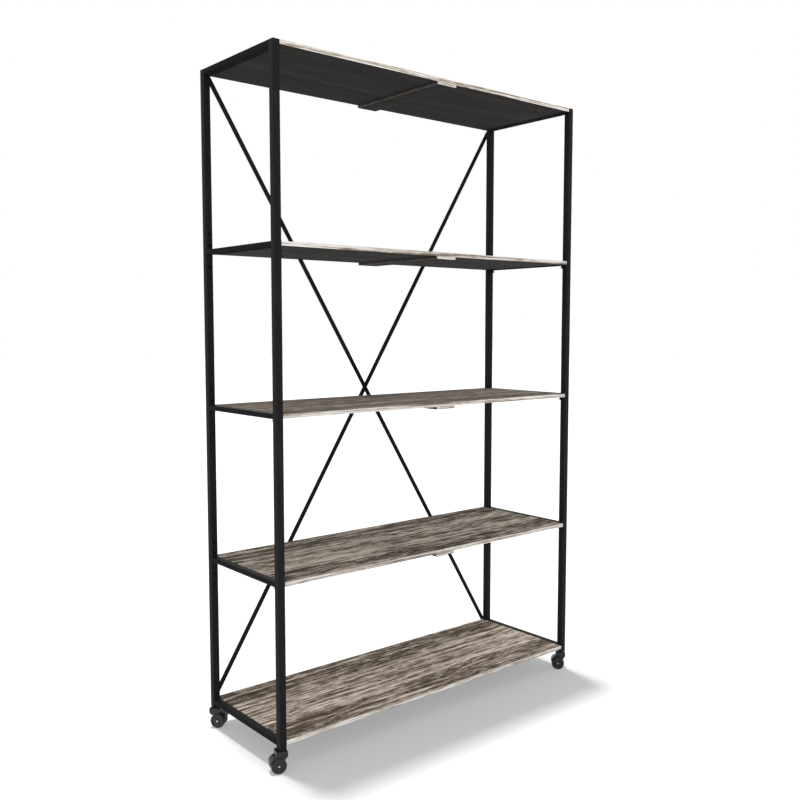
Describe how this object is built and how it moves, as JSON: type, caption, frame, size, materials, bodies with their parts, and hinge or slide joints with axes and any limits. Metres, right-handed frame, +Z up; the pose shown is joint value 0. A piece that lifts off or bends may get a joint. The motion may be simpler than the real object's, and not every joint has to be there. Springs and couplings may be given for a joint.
{
  "type": "bookcase",
  "caption": "Open bookcase on swivel casters: square steel posts, thin wood shelves on end rails, a rear cross brace, and middle shelves that lift off their pins.",
  "frame": {"origin": "on the floor, at the centre of the rectangle that the four posts make in plan", "axes": "+Z up, +X along the shelves to the right seen from the front, +Y towards the back with the cross brace"},
  "size_m": [1.2507, 0.4196, 1.963],
  "materials": {
    "black_steel": "black powder coat, satin",
    "weathered_wood": "weathered grey-brown wood grain on top, pale worn edges, near-black underside",
    "pale_wood": "pale wood on the ends, dark stained sides and underside",
    "black_nylon": "moulded black nylon, fine grain",
    "wheel_nylon": "black nylon wheel with a satin tread",
    "zinc_steel": "zinc-plated steel"
  },
  "bodies": {
    "frame": {"front_left_post": "black_steel", "rear_left_post": "black_steel", "front_right_post": "black_steel", "rear_right_post": "black_steel", "falling_brace_rod": "black_steel", "rising_brace_rod": "black_steel", "shelf_1_board": "weathered_wood", "shelf_1_left_rail": "black_steel", "shelf_1_right_rail": "black_steel", "shelf_5_board": "weathered_wood", "shelf_5_batten": "pale_wood", "shelf_5_left_rail": "black_steel", "shelf_5_right_rail": "black_steel", "shelf_2_front_left_pin": "black_steel", "shelf_2_rear_left_pin": "black_steel", "shelf_2_front_right_pin": "black_steel", "shelf_2_rear_right_pin": "black_steel", "shelf_3_front_left_pin": "black_steel", "shelf_3_rear_left_pin": "black_steel", "shelf_3_front_right_pin": "black_steel", "shelf_3_rear_right_pin": "black_steel", "shelf_4_front_left_pin": "black_steel", "shelf_4_rear_left_pin": "black_steel", "shelf_4_front_right_pin": "black_steel", "shelf_4_rear_right_pin": "black_steel", "front_left_caster_stem": "zinc_steel", "rear_left_caster_stem": "zinc_steel", "front_right_caster_stem": "zinc_steel", "rear_right_caster_stem": "zinc_steel"},
    "shelf_2": {"shelf_2_board": "weathered_wood", "shelf_2_batten": "pale_wood", "shelf_2_left_rail": "black_steel", "shelf_2_right_rail": "black_steel"},
    "shelf_3": {"shelf_3_board": "weathered_wood", "shelf_3_batten": "pale_wood", "shelf_3_left_rail": "black_steel", "shelf_3_right_rail": "black_steel"},
    "shelf_4": {"shelf_4_board": "weathered_wood", "shelf_4_batten": "pale_wood", "shelf_4_left_rail": "black_steel", "shelf_4_right_rail": "black_steel"},
    "front_left_caster": {"front_left_caster_hood": "black_nylon", "front_left_caster_axle": "zinc_steel"},
    "front_left_inner_wheel": {"front_left_inner_wheel": "wheel_nylon"},
    "front_left_outer_wheel": {"front_left_outer_wheel": "wheel_nylon"},
    "rear_left_caster": {"rear_left_caster_hood": "black_nylon", "rear_left_caster_axle": "zinc_steel"},
    "rear_left_inner_wheel": {"rear_left_inner_wheel": "wheel_nylon"},
    "rear_left_outer_wheel": {"rear_left_outer_wheel": "wheel_nylon"},
    "front_right_caster": {"front_right_caster_hood": "black_nylon", "front_right_caster_axle": "zinc_steel"},
    "front_right_inner_wheel": {"front_right_inner_wheel": "wheel_nylon"},
    "front_right_outer_wheel": {"front_right_outer_wheel": "wheel_nylon"},
    "rear_right_caster": {"rear_right_caster_hood": "black_nylon", "rear_right_caster_axle": "zinc_steel"},
    "rear_right_inner_wheel": {"rear_right_inner_wheel": "wheel_nylon"},
    "rear_right_outer_wheel": {"rear_right_outer_wheel": "wheel_nylon"}
  },
  "joints": [
    {"name": "shelf_2_lift", "type": "slide", "parent": "frame", "child": "shelf_2", "axis": [0, 0, 1], "range_m": [0, 0.064]},
    {"name": "shelf_3_lift", "type": "slide", "parent": "frame", "child": "shelf_3", "axis": [0, 0, 1], "range_m": [0, 0.064]},
    {"name": "shelf_4_lift", "type": "slide", "parent": "frame", "child": "shelf_4", "axis": [0, 0, 1], "range_m": [0, 0.064]},
    {"name": "front_left_swivel", "type": "hinge", "parent": "frame", "child": "front_left_caster", "pos_m": [-0.5895, -0.1865, 0.0625], "axis": [0, 0, 1], "continuous": true},
    {"name": "front_left_inner_wheel_roll", "type": "hinge", "parent": "front_left_caster", "child": "front_left_inner_wheel", "pos_m": [-0.5999, -0.18292, 0.022], "axis": [-0.3256, -0.9455, 0], "continuous": true},
    {"name": "front_left_outer_wheel_roll", "type": "hinge", "parent": "front_left_caster", "child": "front_left_outer_wheel", "pos_m": [-0.5999, -0.18292, 0.022], "axis": [-0.3256, -0.9455, 0], "continuous": true},
    {"name": "rear_left_swivel", "type": "hinge", "parent": "frame", "child": "rear_left_caster", "pos_m": [-0.5895, 0.1865, 0.0625], "axis": [0, 0, 1], "continuous": true},
    {"name": "rear_left_inner_wheel_roll", "type": "hinge", "parent": "rear_left_caster", "child": "rear_left_inner_wheel", "pos_m": [-0.58243, 0.17807, 0.022], "axis": [0.766, 0.6428, 0], "continuous": true},
    {"name": "rear_left_outer_wheel_roll", "type": "hinge", "parent": "rear_left_caster", "child": "rear_left_outer_wheel", "pos_m": [-0.58243, 0.17807, 0.022], "axis": [0.766, 0.6428, 0], "continuous": true},
    {"name": "front_right_swivel", "type": "hinge", "parent": "frame", "child": "front_right_caster", "pos_m": [0.5895, -0.1865, 0.0625], "axis": [0, 0, 1], "continuous": true},
    {"name": "front_right_inner_wheel_roll", "type": "hinge", "parent": "front_right_caster", "child": "front_right_inner_wheel", "pos_m": [0.582, -0.17846, 0.022], "axis": [-0.7314, -0.682, 0], "continuous": true},
    {"name": "front_right_outer_wheel_roll", "type": "hinge", "parent": "front_right_caster", "child": "front_right_outer_wheel", "pos_m": [0.582, -0.17846, 0.022], "axis": [-0.7314, -0.682, 0], "continuous": true},
    {"name": "rear_right_swivel", "type": "hinge", "parent": "frame", "child": "rear_right_caster", "pos_m": [0.5895, 0.1865, 0.0625], "axis": [0, 0, 1], "continuous": true},
    {"name": "rear_right_inner_wheel_roll", "type": "hinge", "parent": "rear_right_caster", "child": "rear_right_inner_wheel", "pos_m": [0.595, 0.17697, 0.022], "axis": [0.866, 0.5, 0], "continuous": true},
    {"name": "rear_right_outer_wheel_roll", "type": "hinge", "parent": "rear_right_caster", "child": "rear_right_outer_wheel", "pos_m": [0.595, 0.17697, 0.022], "axis": [0.866, 0.5, 0], "continuous": true}
  ]
}
